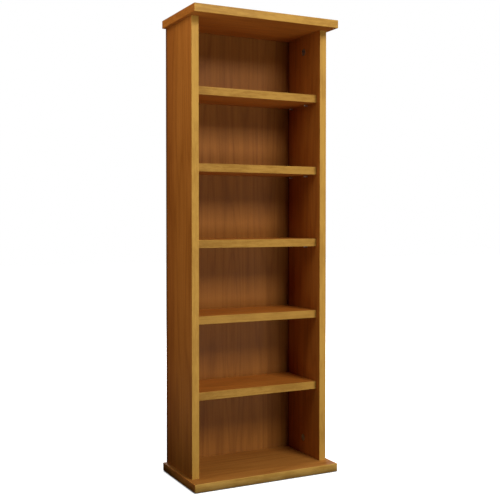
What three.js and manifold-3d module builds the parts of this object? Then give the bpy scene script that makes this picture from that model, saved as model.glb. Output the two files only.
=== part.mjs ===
// Open storage tower for discs: two sides stand between an overhanging top and base,
// loose shelves lie on pins, and a thin back is nailed on behind.
// Millimetres. +X is to the right, the front faces -Y, +Z is up. The origin is on the
// floor, under the middle of the whole tower.

import * as THREE from "three";
import { mergeVertices } from "three/addons/utils/BufferGeometryUtils.js";
import Module from "manifold-3d";

const wasm = await Module();
wasm.setup();

// The whole height, and the clear room inside
const towerHeight = 930;
const innerWidth = 273.4;
const bottomClear = 149;
const topClear = 132;
const shelfCount = 5;

// Boards
const sideThickness = 15;
const sideDepth = 135;
const plateThickness = 16;
const shelfThickness = 16;
const backThickness = 3;

// How the boards stand to each other
const frontOverhang = 33.5;
const endOverhang = 8.3;
const shelfSetback = 14;
const shelfEndGap = 0.25;
const shelfRearGap = 0.5;
const backLap = 11;
const backInset = 0.5;

// Eased edges of the boards
const plateCorner = 1.5;
const plateEase = 0.7;
const boardEase = 0.5;
const cornerSteps = 3;

// Clearances that every drilled hole shares
const pegGap = 0.3;
const holeSpare = 0.5;
const overrun = 1;

// Shelf pins, flattened on top where the shelf lies
const pinRadius = 2.5;
const pinInSide = 8;
const pinUnderShelf = 8;
const pinFlatHeight = 1.9;
const pinChamfer = 0.4;
const pinFrontInset = 52;
const pinRearInset = 20;

// Cam locks in the inner faces of the sides
const camRadius = 7.2;
const camBottomWall = 2.2;
const camRecess = 0.2;
const camReach = 34;
const camCoreRadius = 1.8;
const camLockRadius = 5.8;
const camOpenRadius = 6.3;
const camTurn = 180;
const camEndPad = 55;
const camSlotPad = 20;
const camStep = 10;
const crossLength = 5.4;
const crossWidth = 1.2;
const crossDepth = 2;
const arrowLength = 2;
const arrowWidth = 1.8;
const arrowDepth = 0.4;
const arrowInset = 0.7;

// Cam bolts, screwed into the plates
const boltThreadRadius = 2.9;
const boltThreadLength = 11;
const boltCollarRadius = 3.7;
const boltCollarLength = 1.5;
const boltShankRadius = 3.2;
const boltNeckRadius = 1.6;
const boltNeckRun = 1.5;
const boltHeadRadius = 2.7;
const boltHeadNear = 2.2;
const boltHeadFar = 4.8;
const boltChamfer = 0.6;

// Wooden dowels beside each cam lock
const dowelRadius = 4;
const dowelLength = 30;
const dowelInPlate = 10;
const dowelChamfer = 1;
const dowelEdgeInset = 27.5;

// Nails through the back
const nailRadius = 0.6;
const nailLength = 16;
const nailTip = 2;
const nailHeadRadius = 1.6;
const nailHeadThickness = 0.6;
const nailSink = 0.1;
const nailEndInset = 60;
const nailsPerSide = 3;

// Glides under the base, each a thin disc on a spike
const glideStand = 1;
const glideRadius = 9;
const glideBevel = 0.5;
const glideSpikeRadius = 1.1;
const glideSpikeLength = 9;
const glideSpikeTip = 2;
const glideEndInset = 44;
const glideEdgeInset = 20;

// Faces round each kind of turned piece and its hole
const pegSides = 16;
const pinSides = 12;
const camSides = 32;
const nailSides = 8;
const glideSides = 24;

// Heights: the shelves share evenly what lies between the lowest and the highest
const baseTop = glideStand + plateThickness;
const topUnderside = towerHeight - plateThickness;
const sideHeight = topUnderside - baseTop;
const lowestSeat = baseTop + bottomClear;
const highestSeat = topUnderside - topClear - shelfThickness;
const shelfPitch = (highestSeat - lowestSeat) / Math.max(shelfCount - 1, 1);
const shelfSeat = (index) => lowestSeat + index * shelfPitch;

// Widths, from the middle out
const innerFace = innerWidth / 2;
const sideMiddle = innerFace + sideThickness / 2;
const bodyWidth = innerWidth + 2 * sideThickness;
const plateWidth = bodyWidth + 2 * endOverhang;

// Depths, from front to rear
const plateDepth = frontOverhang + sideDepth;
const towerDepth = plateDepth + backThickness;
const rearFace = towerDepth / 2;
const plateFront = -rearFace;
const plateRear = plateFront + plateDepth;
const plateMiddle = (plateFront + plateRear) / 2;
const sideFront = plateRear - sideDepth;
const camLine = (sideFront + plateRear) / 2;
const shelfFront = sideFront + shelfSetback;
const shelfDepth = plateRear - shelfRearGap - shelfFront;

// Axes of the turned pieces
const dowelLines = [
  ["front", sideFront + dowelEdgeInset],
  ["rear", plateRear - dowelEdgeInset],
];
const pinLines = [
  ["front", sideFront + pinFrontInset],
  ["rear", plateRear - pinRearInset],
];
const hands = [["left", -1], ["right", 1]];
const ends = [["top", topUnderside, 1], ["base", baseTop, -1]];
const camBoreDepth = sideThickness - camBottomWall;

// Materials, in the colours of the photo
const boardMaterial = new THREE.MeshStandardMaterial({
  color: 0xa8692c, roughness: 0.45, metalness: 0,
});
const backMaterial = new THREE.MeshStandardMaterial({
  color: 0x6b3f1c, roughness: 0.7, metalness: 0,
});
const dowelMaterial = new THREE.MeshStandardMaterial({
  color: 0xd9b98a, roughness: 0.75, metalness: 0,
});
const zincMaterial = new THREE.MeshStandardMaterial({
  color: 0x9a9a98, roughness: 0.45, metalness: 0.9,
});
const steelMaterial = new THREE.MeshStandardMaterial({
  color: 0xb8b8b4, roughness: 0.3, metalness: 1,
});
const glideMaterial = new THREE.MeshStandardMaterial({
  color: 0x4a2c14, roughness: 0.6, metalness: 0,
});

// Solids and booleans

function toSolid(geometry) {
  const bare = geometry.clone();
  bare.deleteAttribute("normal");
  bare.deleteAttribute("uv");
  const merged = mergeVertices(bare);
  return new wasm.Manifold(new wasm.Mesh({
    numProp: 3,
    vertProperties: new Float32Array(merged.attributes.position.array),
    triVerts: new Uint32Array(merged.index.array),
  }));
}

function toGeometry(solid) {
  const mesh = solid.getMesh();
  const geometry = new THREE.BufferGeometry();
  geometry.setAttribute("position", new THREE.BufferAttribute(mesh.vertProperties, 3));
  geometry.setIndex(new THREE.BufferAttribute(mesh.triVerts, 1));
  geometry.computeVertexNormals();
  return geometry;
}

function cut(geometry, cutters) {
  let solid = toSolid(geometry);
  for (const cutter of cutters) {
    solid = solid.subtract(toSolid(cutter));
  }
  return toGeometry(solid);
}

function box(low, high) {
  const size = new THREE.Vector3().subVectors(high, low);
  const middle = new THREE.Vector3().addVectors(low, high).multiplyScalar(1 / 2);
  const geometry = new THREE.BoxGeometry(size.x, size.y, size.z);
  return geometry.translate(middle.x, middle.y, middle.z);
}

function at(x, y, z) {
  return new THREE.Vector3(x, y, z);
}

// A straight hole or rod from one point to another
function rod(radius, start, end, sides) {
  const way = new THREE.Vector3().subVectors(end, start);
  const middle = new THREE.Vector3().addVectors(start, end).multiplyScalar(1 / 2);
  const turn = new THREE.Quaternion().setFromUnitVectors(at(0, 1, 0), way.clone().normalize());
  const geometry = new THREE.CylinderGeometry(radius, radius, way.length(), sides);
  return geometry.applyQuaternion(turn).translate(middle.x, middle.y, middle.z);
}

// A turned piece along Z, from [radius, height] pairs that go up from its foot
function turned(profile, sides) {
  const points = profile.map(([radius, height]) => new THREE.Vector2(radius, height));
  return new THREE.LatheGeometry(points, sides).rotateX(Math.PI / 2);
}

// A board lying flat, eased on every edge, with rounded corners
function easedPlate(width, depth, thickness, corner, ease) {
  const right = width / 2 - ease;
  const rear = depth / 2 - ease;
  const round = corner - ease;
  const outline = new THREE.Shape();
  outline.absarc(right - round, rear - round, round, 0, Math.PI / 2);
  outline.absarc(round - right, rear - round, round, Math.PI / 2, Math.PI);
  outline.absarc(round - right, round - rear, round, Math.PI, Math.PI * 3 / 2);
  outline.absarc(right - round, round - rear, round, Math.PI * 3 / 2, Math.PI * 2);
  const geometry = new THREE.ExtrudeGeometry(outline, {
    depth: thickness - 2 * ease,
    bevelThickness: ease,
    bevelSize: ease,
    bevelSegments: 1,
    curveSegments: cornerSteps,
  });
  return geometry.translate(0, 0, ease);
}

// A board's section: its front edge lies on zero depth and has its two corners eased
function easedSection(thickness, depth, ease) {
  const half = thickness / 2;
  return new THREE.Shape([
    new THREE.Vector2(ease - half, 0),
    new THREE.Vector2(half - ease, 0),
    new THREE.Vector2(half, ease),
    new THREE.Vector2(half, depth),
    new THREE.Vector2(-half, depth),
    new THREE.Vector2(-half, ease),
  ]);
}

// Drillings

// Every nail's place on the back: name, x and z
function nailPlaces() {
  const places = [];
  for (const [hand, sign] of hands) {
    for (let index = 0; index < nailsPerSide; index += 1) {
      const run = (sideHeight - 2 * nailEndInset) * index / Math.max(nailsPerSide - 1, 1);
      places.push([`${hand}_${index + 1}`, sign * sideMiddle, baseTop + nailEndInset + run]);
    }
  }
  for (const [end, plane, sign] of ends) {
    places.push([end, 0, plane + sign * backLap / 2]);
  }
  return places;
}

function nailHoles() {
  const tip = rearFace - nailSink - nailLength - holeSpare;
  return nailPlaces().map(([, x, z]) =>
    rod(nailRadius + pegGap, at(x, tip, z), at(x, rearFace + overrun, z), nailSides));
}

// Holes in a plate's inner face for the dowels and the cam bolts
function plateHoles(plane, sign) {
  const cutters = [];
  const mouth = plane - sign * overrun;
  for (const [, hand] of hands) {
    const x = hand * sideMiddle;
    const floor = plane + sign * (boltThreadLength + holeSpare);
    cutters.push(rod(boltThreadRadius + pegGap, at(x, camLine, mouth), at(x, camLine, floor), pegSides));
    for (const [, y] of dowelLines) {
      const bottom = plane + sign * (dowelInPlate + holeSpare);
      cutters.push(rod(dowelRadius + pegGap, at(x, y, mouth), at(x, y, bottom), pegSides));
    }
  }
  return cutters;
}

// Holes in a side's two ends for the dowels and the cam bolts, and the cam bores
function sideEndHoles(hand) {
  const cutters = [];
  const x = hand * sideMiddle;
  for (const [, plane, sign] of ends) {
    const mouth = plane + sign * overrun;
    const camHeight = plane - sign * camReach;
    const dowelFloor = plane - sign * (dowelLength - dowelInPlate + holeSpare);
    const boreMouth = hand * (innerFace - overrun);
    const boreFloor = hand * (innerFace + camBoreDepth);
    cutters.push(rod(boltCollarRadius + pegGap, at(x, camLine, mouth), at(x, camLine, camHeight), pegSides));
    cutters.push(rod(
      camRadius + pegGap, at(boreMouth, camLine, camHeight), at(boreFloor, camLine, camHeight), camSides,
    ));
    for (const [, y] of dowelLines) {
      cutters.push(rod(dowelRadius + pegGap, at(x, y, mouth), at(x, y, dowelFloor), pegSides));
    }
  }
  return cutters;
}

// Blind holes in a side's inner face for the shelf pins
function pinHoles(hand) {
  const cutters = [];
  const mouth = hand * (innerFace - overrun);
  const floor = hand * (innerFace + pinInSide + holeSpare);
  for (let index = 0; index < shelfCount; index += 1) {
    const z = shelfSeat(index) - pinFlatHeight;
    for (const [, y] of pinLines) {
      cutters.push(rod(pinRadius + pegGap, at(mouth, y, z), at(floor, y, z), pinSides));
    }
  }
  return cutters;
}

// Holes under the base for the spikes of the glides
function glidePlaces() {
  const x = plateWidth / 2 - glideEndInset;
  return [
    ["front_left", -x, plateFront + glideEdgeInset],
    ["front_right", x, plateFront + glideEdgeInset],
    ["rear_left", -x, plateRear - glideEdgeInset],
    ["rear_right", x, plateRear - glideEdgeInset],
  ];
}

function glideHoles() {
  const floor = glideStand + glideSpikeLength + holeSpare;
  return glidePlaces().map(([, x, y]) =>
    rod(glideSpikeRadius + pegGap, at(x, y, glideStand - overrun), at(x, y, floor), nailSides));
}

// Boards

function topPanel() {
  const blank = easedPlate(plateWidth, plateDepth, plateThickness, plateCorner, plateEase);
  blank.translate(0, plateMiddle, topUnderside);
  return cut(blank, [...plateHoles(topUnderside, 1), ...nailHoles()]);
}

function basePanel() {
  const blank = easedPlate(plateWidth, plateDepth, plateThickness, plateCorner, plateEase);
  blank.translate(0, plateMiddle, glideStand);
  return cut(blank, [...plateHoles(baseTop, -1), ...glideHoles(), ...nailHoles()]);
}

function sidePanel(hand) {
  const section = easedSection(sideThickness, sideDepth, boardEase);
  const blank = new THREE.ExtrudeGeometry(section, { depth: sideHeight, bevelEnabled: false });
  blank.translate(hand * sideMiddle, sideFront, baseTop);
  return cut(blank, [...sideEndHoles(hand), ...pinHoles(hand), ...nailHoles()]);
}

function backPanel() {
  const halfWidth = bodyWidth / 2 - backInset;
  const blank = box(
    at(-halfWidth, plateRear, baseTop - backLap),
    at(halfWidth, rearFace, topUnderside + backLap),
  );
  const headSeat = rearFace - nailSink - nailHeadThickness;
  const seats = nailPlaces().map(([, x, z]) =>
    rod(nailHeadRadius + pegGap, at(x, headSeat, z), at(x, rearFace + overrun, z), nailSides));
  return cut(blank, [...nailHoles(), ...seats]);
}

// A shelf along X, its underside on zero height and its front edge on zero depth
function shelf() {
  const length = innerWidth - 2 * shelfEndGap;
  const section = easedSection(shelfThickness, shelfDepth, boardEase);
  const geometry = new THREE.ExtrudeGeometry(section, { depth: length, bevelEnabled: false });
  geometry.rotateY(Math.PI / 2);
  return geometry.translate(-length / 2, 0, shelfThickness / 2);
}

// Fittings

// A shelf pin along Z: its foot is in the side, and its flat faces +X
function shelfPin() {
  const blank = turned([
    [0, -pinInSide],
    [pinRadius - pinChamfer, -pinInSide],
    [pinRadius, pinChamfer - pinInSide],
    [pinRadius, pinUnderShelf - pinChamfer],
    [pinRadius - pinChamfer, pinUnderShelf],
    [0, pinUnderShelf],
  ], pinSides);
  const aboveFlat = box(
    at(pinFlatHeight, -pinRadius - overrun, 0),
    at(pinRadius + overrun, pinRadius + overrun, pinUnderShelf + overrun),
  );
  return cut(blank, [aboveFlat]);
}

// A dowel along Z, with the plate's face on zero height
function dowel() {
  const foot = -dowelInPlate;
  const head = dowelLength - dowelInPlate;
  return turned([
    [0, foot],
    [dowelRadius - dowelChamfer, foot],
    [dowelRadius, foot + dowelChamfer],
    [dowelRadius, head - dowelChamfer],
    [dowelRadius - dowelChamfer, head],
    [0, head],
  ], pegSides);
}

// A cam bolt along Z, with the plate's face on zero height and the cam's axis at camReach
function camBolt() {
  const headStart = camReach - boltHeadFar;
  const headEnd = camReach - boltHeadNear;
  const neckStart = camReach - camRadius - boltNeckRun;
  return turned([
    [0, -boltThreadLength],
    [boltThreadRadius - boltChamfer, -boltThreadLength],
    [boltThreadRadius, boltChamfer - boltThreadLength],
    [boltThreadRadius, 0],
    [boltCollarRadius, 0],
    [boltCollarRadius, boltCollarLength],
    [boltShankRadius, boltCollarLength],
    [boltShankRadius, neckStart - boltNeckRun],
    [boltNeckRadius, neckStart],
    [boltNeckRadius, headStart],
    [boltHeadRadius, headStart],
    [boltHeadRadius, headEnd - boltChamfer],
    [boltHeadRadius - boltChamfer, headEnd],
    [0, headEnd],
  ], pegSides);
}

function polar(radius, degrees) {
  const angle = THREE.MathUtils.degToRad(degrees);
  return new THREE.Vector2(radius * Math.cos(angle), radius * Math.sin(angle));
}

// A curved slot in the cam, between two radii that may change with the angle
function curvedSlot(innerRadius, outerRadius, startDegrees, endDegrees, halfHeight) {
  const steps = Math.ceil((endDegrees - startDegrees) / camStep);
  const outer = [];
  const inner = [];
  for (let index = 0; index <= steps; index += 1) {
    const degrees = startDegrees + (endDegrees - startDegrees) * index / steps;
    outer.push(polar(outerRadius(degrees), degrees));
    inner.unshift(polar(innerRadius(degrees), degrees));
  }
  const shape = new THREE.Shape([...outer, ...inner]);
  const slot = new THREE.ExtrudeGeometry(shape, { depth: 2 * halfHeight, bevelEnabled: false });
  return slot.translate(0, 0, -halfHeight);
}

// The cam's hollow grows in a spiral from the locked end, at zero, to the open end
function hollowRadius(degrees) {
  const turnedShare = THREE.MathUtils.clamp(-degrees / camTurn, 0, 1);
  return camLockRadius + (camOpenRadius - camLockRadius) * turnedShare;
}

// A cam lock along Z: its face is on zero height and looks up, and the bolt comes in
// from +X, level with the middle of the side's thickness
function camLock() {
  const height = camBoreDepth - camRecess - pegGap;
  const boltDepth = sideThickness / 2 - camRecess;
  const body = rod(camRadius, at(0, 0, -height), at(0, 0, 0), camSides);
  const headHalf = boltHeadRadius + pegGap;
  const neckHalf = boltNeckRadius + pegGap;
  const lastAngle = camEndPad + camTurn;
  const hollow = curvedSlot(() => camCoreRadius, hollowRadius, -lastAngle, camEndPad, headHalf);
  const neckWay = curvedSlot(
    () => camLockRadius - overrun,
    () => camRadius + overrun,
    -camTurn - camSlotPad,
    camSlotPad,
    neckHalf,
  );
  const mouth = box(
    at(-camRadius - overrun, -headHalf, -headHalf),
    at(-camCoreRadius, headHalf, headHalf),
  );
  const hollows = [hollow, neckWay, mouth].map((cutter) => cutter.translate(0, 0, -boltDepth));
  return cut(body, [...hollows, ...crossRecess(), arrowMark()]);
}

function crossRecess() {
  const long = crossLength / 2;
  const short = crossWidth / 2;
  return [
    box(at(-long, -short, -crossDepth), at(long, short, overrun)),
    box(at(-short, -long, -crossDepth), at(short, long, overrun)),
  ];
}

// The arrow in the cam's face points at the mouth where the bolt's head goes in
function arrowMark() {
  const tip = arrowInset - camRadius;
  const shape = new THREE.Shape([
    new THREE.Vector2(tip, 0),
    new THREE.Vector2(tip + arrowLength, -arrowWidth / 2),
    new THREE.Vector2(tip + arrowLength, arrowWidth / 2),
  ]);
  const mark = new THREE.ExtrudeGeometry(shape, { depth: arrowDepth + overrun, bevelEnabled: false });
  return mark.translate(0, 0, -arrowDepth);
}

// A nail along Z: the top of its head is on zero height
function nail() {
  return turned([
    [0, -nailLength],
    [nailRadius, nailTip - nailLength],
    [nailRadius, -nailHeadThickness],
    [nailHeadRadius, -nailHeadThickness],
    [nailHeadRadius, 0],
    [0, 0],
  ], nailSides);
}

// A glide along Z, its foot on the floor
function glide() {
  const spikeTop = glideStand + glideSpikeLength;
  return turned([
    [0, 0],
    [glideRadius - glideBevel, 0],
    [glideRadius, glideBevel],
    [glideRadius, glideStand],
    [glideSpikeRadius, glideStand],
    [glideSpikeRadius, spikeTop - glideSpikeTip],
    [0, spikeTop],
  ], glideSides);
}

// The tower

function piece(name, geometry, material, place = at(0, 0, 0)) {
  const mesh = new THREE.Mesh(geometry, material);
  mesh.name = name;
  mesh.position.copy(place);
  return mesh;
}

// Turns a mesh so that its own X, Y and Z point these ways
function aim(mesh, xWay, zWay) {
  const yWay = new THREE.Vector3().crossVectors(zWay, xWay);
  mesh.quaternion.setFromRotationMatrix(new THREE.Matrix4().makeBasis(xWay, yWay, zWay));
  return mesh;
}

function carcass() {
  const group = new THREE.Group();
  group.add(piece("base_panel", basePanel(), boardMaterial));
  group.add(piece("top_panel", topPanel(), boardMaterial));
  for (const [hand, sign] of hands) {
    group.add(piece(`side_panel_${hand}`, sidePanel(sign), boardMaterial));
  }
  group.add(piece("back_panel", backPanel(), backMaterial));
  return group;
}

function shelves() {
  const group = new THREE.Group();
  const shelfGeometry = shelf();
  const pinGeometry = shelfPin();
  for (let index = 0; index < shelfCount; index += 1) {
    const seat = shelfSeat(index);
    const label = index + 1;
    group.add(piece(`shelf_${label}`, shelfGeometry, boardMaterial, at(0, shelfFront, seat)));
    for (const [hand, sign] of hands) {
      for (const [row, y] of pinLines) {
        const place = at(sign * innerFace, y, seat - pinFlatHeight);
        const pin = piece(`shelf_pin_${label}_${row}_${hand}`, pinGeometry, steelMaterial, place);
        group.add(aim(pin, at(0, 0, 1), at(-sign, 0, 0)));
      }
    }
  }
  return group;
}

function cornerFittings() {
  const group = new THREE.Group();
  const camGeometry = camLock();
  const boltGeometry = camBolt();
  const dowelGeometry = dowel();
  for (const [end, plane, endSign] of ends) {
    const inward = at(0, 0, -endSign);
    for (const [hand, sign] of hands) {
      const camPlace = at(sign * (innerFace + camRecess), camLine, plane - endSign * camReach);
      const boltWay = at(0, 0, endSign);
      const cam = piece(`cam_lock_${end}_${hand}`, camGeometry, zincMaterial, camPlace);
      group.add(aim(cam, boltWay, at(-sign, 0, 0)));
      const boltPlace = at(sign * sideMiddle, camLine, plane);
      const bolt = piece(`cam_bolt_${end}_${hand}`, boltGeometry, steelMaterial, boltPlace);
      group.add(aim(bolt, at(1, 0, 0), inward));
      for (const [row, y] of dowelLines) {
        const place = at(sign * sideMiddle, y, plane);
        const peg = piece(`dowel_${end}_${row}_${hand}`, dowelGeometry, dowelMaterial, place);
        group.add(aim(peg, at(1, 0, 0), inward));
      }
    }
  }
  return group;
}

function backNails() {
  const group = new THREE.Group();
  const geometry = nail();
  for (const [label, x, z] of nailPlaces()) {
    const place = at(x, rearFace - nailSink, z);
    const mesh = piece(`back_nail_${label}`, geometry, steelMaterial, place);
    group.add(aim(mesh, at(1, 0, 0), at(0, 1, 0)));
  }
  return group;
}

function glides() {
  const group = new THREE.Group();
  const geometry = glide();
  for (const [label, x, y] of glidePlaces()) {
    group.add(piece(`glide_${label}`, geometry, glideMaterial, at(x, y, 0)));
  }
  return group;
}

const tower = new THREE.Group();
tower.add(carcass(), shelves(), cornerFittings(), backNails(), glides());

export default tower;
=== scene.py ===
"""Looks for the disc storage tower: faced boards, edge bands, a nailed back and flat-pack fittings.

Metres, in the frame of the CAD model: +X right, the front faces -Y, +Z up, the origin on the floor.
"""

import math

import bmesh
import bpy
from mathutils import Matrix, Vector


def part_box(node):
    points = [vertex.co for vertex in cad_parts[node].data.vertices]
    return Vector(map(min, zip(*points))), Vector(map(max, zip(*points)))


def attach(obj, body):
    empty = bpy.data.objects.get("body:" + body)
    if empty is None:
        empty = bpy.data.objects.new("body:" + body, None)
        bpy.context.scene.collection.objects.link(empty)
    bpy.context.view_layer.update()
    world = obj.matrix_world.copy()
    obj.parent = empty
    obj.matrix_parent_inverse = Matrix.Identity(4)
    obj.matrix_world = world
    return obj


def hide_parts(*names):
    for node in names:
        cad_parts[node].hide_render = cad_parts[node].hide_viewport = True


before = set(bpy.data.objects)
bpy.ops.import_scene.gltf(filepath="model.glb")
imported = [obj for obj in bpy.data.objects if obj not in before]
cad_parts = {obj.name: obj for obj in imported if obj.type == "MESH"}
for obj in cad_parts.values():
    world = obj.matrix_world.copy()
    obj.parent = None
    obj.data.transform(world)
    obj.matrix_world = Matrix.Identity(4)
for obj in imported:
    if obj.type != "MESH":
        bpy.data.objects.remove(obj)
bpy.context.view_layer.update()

MM = 0.001

# Camera, worked out from the photo's edges
CAMERA_PLACE = Vector((-786.78, -1559.79, 522.29)) * MM
CAMERA_YAW = 26.779
CAMERA_PITCH = 1.227
CAMERA_LENS = 60.933
CAMERA_SENSOR = 36.0
CAMERA_SHIFT_Y = -0.025
CAMERA_CLIP = (0.05, 40.0)

# Ways, and how squarely a face has to look along one to count as facing it
AXES = {"x": 0, "y": 1, "z": 2}
RIGHT = Vector((1, 0, 0))
FRONT = Vector((0, -1, 0))
REAR = Vector((0, 1, 0))
UP = Vector((0, 0, 1))
RIGHT_ANGLE = 90
FACING = 0.9

# Edge bands and eased arrises
PLATE_BAND = 1.0 * MM
PLATE_BAND_ROUND = 0.8 * MM
PLATE_CORNER = 1.5 * MM
CORNER_STEPS = 4
CORNER_SPLIT = 45  # degrees off the front's way, where an end band meets the front one
BOARD_BAND = 0.6 * MM
BOARD_BAND_ROUND = 0.45 * MM
CORE_EASE = 0.12 * MM
CORE_STEPS = 1
BACK_EASE = 0.3 * MM
BACK_STEPS = 2
EASE_STEPS = 3
ROUND_PROFILE = 0.5  # the bevel's value for a quarter of a circle
LEVEL_SLACK = 0.01 * MM

# Drillings and turned pieces
PEG_GAP = 0.3 * MM
HOLE_SPARE = 0.5 * MM
HOLE_STEPS = 48
OVERRUN = 1.0 * MM
WELD = 0.002 * MM
ROUND_STEPS = 64
SMALL_ROUND_STEPS = 32
SMOOTH_ANGLE = 32.0

# Colours in linear light, as (light, dark)
FACE_LOOK = ((0.4853, 0.1591, 0.0221), (0.3341, 0.0976, 0.0107))
BAND_LOOK = ((0.4848, 0.2580, 0.0428), (0.3571, 0.1720, 0.0223))
# The shelves' bands: the band colour printed darker, painted shade on the recessed shelf fronts
SHELF_BAND_PAINTED_SHADE_LOOK = ((0.4068, 0.2108, 0.0345), (0.2950, 0.1398, 0.0165))
# The base's faces: the face colour made less red and more yellow, painted light on the base's top
BASE_FACE_PAINTED_LIGHT_LOOK = ((0.4220, 0.1670, 0.0300), (0.2900, 0.1025, 0.0145))
# The base's front band: the band colour printed brighter, painted light
BASE_BAND_PAINTED_LIGHT_LOOK = ((0.5640, 0.3190, 0.0680), (0.4160, 0.2130, 0.0350))
# The base's end bands: the face colour printed much brighter, painted light from the floor beside the base
BASE_END_PAINTED_LIGHT_LOOK = ((0.8500, 0.3070, 0.0580), (0.5860, 0.1885, 0.0288))
# The back's printed face: the face colour printed darker, painted shade inside the compartments
BACK_FACE_PAINTED_SHADE_LOOK = ((0.2900, 0.1060, 0.0150), (0.2000, 0.0650, 0.0073))
CHIP_LOOK = ((0.560, 0.400, 0.220), (0.270, 0.165, 0.075))
HARDBOARD_LOOK = ((0.230, 0.120, 0.055), (0.130, 0.062, 0.027))
BEECH_LOOK = ((0.640, 0.450, 0.250), (0.460, 0.290, 0.140))
ZINC_LOOK = ((0.420, 0.415, 0.400), (0.260, 0.255, 0.245))
STEEL_LOOK = ((0.620, 0.610, 0.590), (0.430, 0.425, 0.410))
GLIDE_LOOK = ((0.085, 0.045, 0.022), (0.050, 0.026, 0.012))
WHITE = (1.0, 1.0, 1.0, 1.0)

# Places in the patterns: each board and material has a seed, and each of its layers an order
SEEDS = dict(
    chipboard=3, hardboard=4, beech=5, glide_plastic=6, cam_zinc=7, bolt_steel=8, pin_steel=9, nail_steel=10,
    side=11, side_band=21, shelf=31, shelf_band=41, plate=51, plate_band=61, back=81,
)
PLATE_BAND_STRIDE = 10
SEED_STRIDE = (7.31, 3.97, 5.53)
ORDER_STRIDE = (1.7, -2.3, 4.1)

# Stretches of a noise's values, from most of them to the middle ones
WIDE = (0.2, 0.8)
USUAL = (0.3, 0.7)
NARROW = (0.35, 0.65)
MIDDLE = 0.5

# Sockets of a Mix node that mixes colours
MIX_FIRST, MIX_SECOND, MIX_RESULT = 6, 7, 2

WEAR = "wear"


# Node graphs

class Graph:
    """A material's node tree, with short calls for the nodes used here."""

    def __init__(self, name):
        self.material = bpy.data.materials.new(name)
        self.material.use_nodes = True
        self.tree = self.material.node_tree
        self.shader = self.tree.nodes["Principled BSDF"]

    def node(self, kind, **settings):
        made = self.tree.nodes.new(kind)
        for key, value in settings.items():
            setattr(made, key, value)
        return made

    def join(self, source, target):
        self.tree.links.new(source, target)

    def points(self, scale=(1, 1, 1), shift=(0, 0, 0)):
        """Object coordinates, scaled and shifted along each axis."""
        coordinates = self.node("ShaderNodeTexCoord")
        mapping = self.node("ShaderNodeMapping")
        mapping.inputs["Scale"].default_value = scale
        mapping.inputs["Location"].default_value = shift
        self.join(coordinates.outputs["Object"], mapping.inputs["Vector"])
        return mapping.outputs["Vector"]

    def noise(self, points, detail, roughness):
        made = self.node("ShaderNodeTexNoise")
        made.inputs["Scale"].default_value = 1.0
        made.inputs["Detail"].default_value = detail
        made.inputs["Roughness"].default_value = roughness
        self.join(points, made.inputs["Vector"])
        return made.outputs["Fac"]

    def wear(self):
        """How far a place is rubbed, as mark_wear painted it."""
        return self.node("ShaderNodeAttribute", attribute_name=WEAR).outputs["Fac"]

    def math(self, operation, first, second=None, third=None):
        made = self.node("ShaderNodeMath", operation=operation)
        for socket, value in zip(made.inputs, (first, second, third)):
            if value is None:
                continue
            if isinstance(value, (int, float)):
                socket.default_value = value
            else:
                self.join(value, socket)
        return made.outputs["Value"]

    def spread(self, value, low, high, new_low=0.0, new_high=1.0):
        """Maps low..high smoothly to new_low..new_high."""
        made = self.node("ShaderNodeMapRange", interpolation_type="SMOOTHSTEP")
        for key, number in (("From Min", low), ("From Max", high), ("To Min", new_low), ("To Max", new_high)):
            made.inputs[key].default_value = number
        self.join(value, made.inputs["Value"])
        return made.outputs["Result"]

    def blend(self, share, first, second):
        """A colour between two others."""
        made = self.node("ShaderNodeMix", data_type="RGBA")
        self.join(share, made.inputs["Factor"])
        for socket, colour in ((made.inputs[MIX_FIRST], first), (made.inputs[MIX_SECOND], second)):
            if isinstance(colour, tuple):
                socket.default_value = (*colour, 1.0)
            else:
                self.join(colour, socket)
        return made.outputs[MIX_RESULT]

    def tint(self, share, colour, tint):
        """A colour multiplied by a tint, as far as the share says."""
        made = self.node("ShaderNodeMix", data_type="RGBA", blend_type="MULTIPLY")
        self.join(share, made.inputs["Factor"])
        self.join(colour, made.inputs[MIX_FIRST])
        made.inputs[MIX_SECOND].default_value = (*tint, 1.0)
        return made.outputs[MIX_RESULT]

    def bump(self, height, depth, strength):
        made = self.node("ShaderNodeBump")
        made.inputs["Strength"].default_value = strength
        made.inputs["Distance"].default_value = depth
        self.join(height, made.inputs["Height"])
        self.join(made.outputs["Normal"], self.shader.inputs["Normal"])

    def finish(self, colour, roughness, specular, metallic=0.0):
        self.join(colour, self.shader.inputs["Base Color"])
        self.join(roughness, self.shader.inputs["Roughness"])
        self.shader.inputs["Specular IOR Level"].default_value = specular
        self.shader.inputs["Metallic"].default_value = metallic
        return self.material


def grain_scale(axis, across, along):
    """Pattern sizes turned into texture scales, long along one axis."""
    scale = [1 / across] * 3
    scale[AXES[axis]] = 1 / along
    return tuple(scale)


def seed_shift(seed, order):
    """A fixed place in the pattern for each board and each layer, so that no two share a stretch of it."""
    return tuple(stride * seed + step * order for stride, step in zip(SEED_STRIDE, ORDER_STRIDE))


def layer(graph, axis, seed, order, noise):
    """Noise drawn out along an axis, given as (size across, size along, detail, roughness)."""
    across, along, detail, roughness = noise
    points = graph.points(grain_scale(axis, across, along), seed_shift(seed, order))
    return graph.noise(points, detail, roughness)


# Printed boards and bands

NOISE_ROUGHNESS = 0.55

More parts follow.
